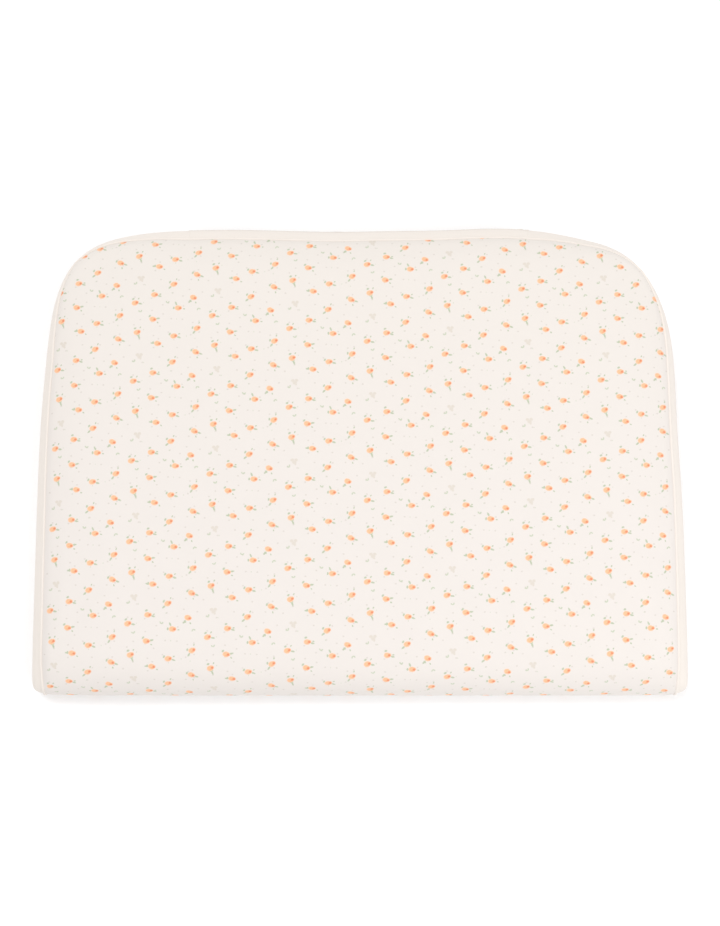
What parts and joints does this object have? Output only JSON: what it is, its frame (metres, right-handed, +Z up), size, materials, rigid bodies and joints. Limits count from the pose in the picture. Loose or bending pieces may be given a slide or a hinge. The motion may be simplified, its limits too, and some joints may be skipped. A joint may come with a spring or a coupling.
{
  "type": "changing pad",
  "caption": "Thick padded baby changing pad with wide soft rear corners, a rolled front edge, piped side band, floral jersey top and a zip-off cover.",
  "frame": {"origin": "on the ground, at the middle of the whole pad's box", "axes": "+X to the pad's right, along its long side; +Y from the rolled front edge to the rear edge with the zip; +Z up"},
  "size_m": [0.7026, 0.5182, 0.062],
  "materials": {
    "printed_jersey": "soft cream cotton jersey with a small printed sprig pattern",
    "plain_jersey": "plain cream cotton jersey",
    "label_tape": "white woven tape, blank",
    "zip_tape": "cream woven polyester zip tape",
    "zip_nylon": "cream nylon coil",
    "zip_metal": "cream enamelled zinc",
    "coated_case": "white fabric with a waterproof coating on its inner face",
    "wadding": "white polyester wadding",
    "foam": "open-cell polyurethane foam"
  },
  "bodies": {
    "pad": {"top_panel": "printed_jersey", "piping": "plain_jersey", "side_band_left": "plain_jersey", "side_band_right": "plain_jersey", "zip_strip_upper": "plain_jersey", "zip_strip_lower": "plain_jersey", "base_panel": "plain_jersey", "care_label": "label_tape", "zip_tape_upper": "zip_tape", "zip_tape_lower": "zip_tape", "zip_coil_upper": "zip_nylon", "zip_coil_lower": "zip_nylon", "zip_stops": "zip_metal", "inner_case_top": "coated_case", "inner_case_base": "coated_case", "wadding_top": "wadding", "foam_core": "foam", "wadding_base": "wadding"},
    "slider": {"zip_slider": "zip_metal"},
    "pull": {"zip_pull": "zip_metal"}
  },
  "joints": [
    {"name": "zip_slide", "type": "slide", "parent": "pad", "child": "slider", "axis": [-1, 0, 0], "range_m": [0, 0.352], "deforming": ["zip_coil_upper", "zip_coil_lower"]},
    {"name": "pull_swing", "type": "hinge", "parent": "slider", "child": "pull", "pos_m": [0.178, 0.25735, 0.024], "axis": [0, 0, -1], "range_deg": [0, 180]}
  ]
}
